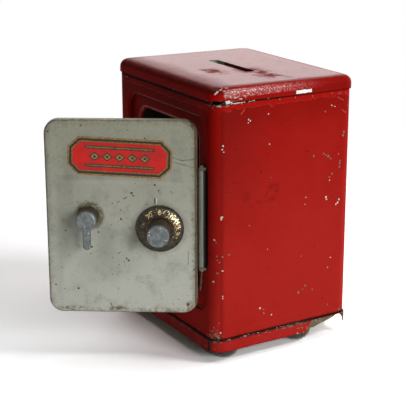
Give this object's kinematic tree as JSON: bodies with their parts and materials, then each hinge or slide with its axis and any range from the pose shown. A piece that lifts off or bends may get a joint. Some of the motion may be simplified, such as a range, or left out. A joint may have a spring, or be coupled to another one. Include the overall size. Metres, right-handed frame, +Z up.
{
  "type": "safe coin bank",
  "caption": "Toy safe coin bank of pressed tin: a box with a coin slot in its lid, a swinging door with a turning number dial and a latch lever, and domed feet.",
  "frame": {"origin": "under the middle of the whole object with its door open as drawn, on the surface the feet stand on", "axes": "+Z up, -Y out of the door's side of the case, +X towards the hinge as the front is seen"},
  "size_m": [0.0917, 0.1344, 0.1267],
  "materials": {
    "red_enamel": "gloss",
    "grey_enamel": "satin",
    "bare_tinplate": "satin",
    "worn_steel": "satin",
    "cast_zinc": "satin",
    "worn_brass": "satin"
  },
  "bodies": {
    "case": {"body_shell": "red_enamel", "lid": "red_enamel", "base_tray": "red_enamel", "foot_front_right": "worn_steel", "foot_front_left": "worn_steel", "foot_rear_right": "worn_steel", "foot_rear_left": "worn_steel", "hinge_bracket": "bare_tinplate", "hinge_pin": "worn_steel"},
    "door": {"door_panel": "grey_enamel"},
    "dial": {"dial_plate": "worn_brass", "dial_knob": "cast_zinc", "dial_spring_washer": "worn_steel", "dial_sleeve": "bare_tinplate", "combination_disc": "worn_brass", "dial_retainer": "bare_tinplate"},
    "handle": {"handle_escutcheon": "worn_steel", "handle_lever": "cast_zinc", "handle_spring_washer": "worn_steel", "handle_sleeve": "bare_tinplate", "latch_lever": "bare_tinplate", "handle_retainer": "bare_tinplate"}
  },
  "joints": [
    {"name": "door_hinge", "type": "hinge", "parent": "case", "child": "door", "pos_m": [0.0362, -0.0095, 0.06735], "axis": [0, 0, 1], "range_deg": [-56.5, 63.5]},
    {"name": "dial_spin", "type": "hinge", "parent": "door", "child": "dial", "pos_m": [0.02698, -0.0257, 0.063], "axis": [0.8339, -0.5519, 0], "continuous": true},
    {"name": "handle_turn", "type": "hinge", "parent": "door", "child": "handle", "pos_m": [0.00937, -0.0523, 0.068], "axis": [-0.8339, 0.5519, 0], "range_deg": [0, 90]}
  ]
}
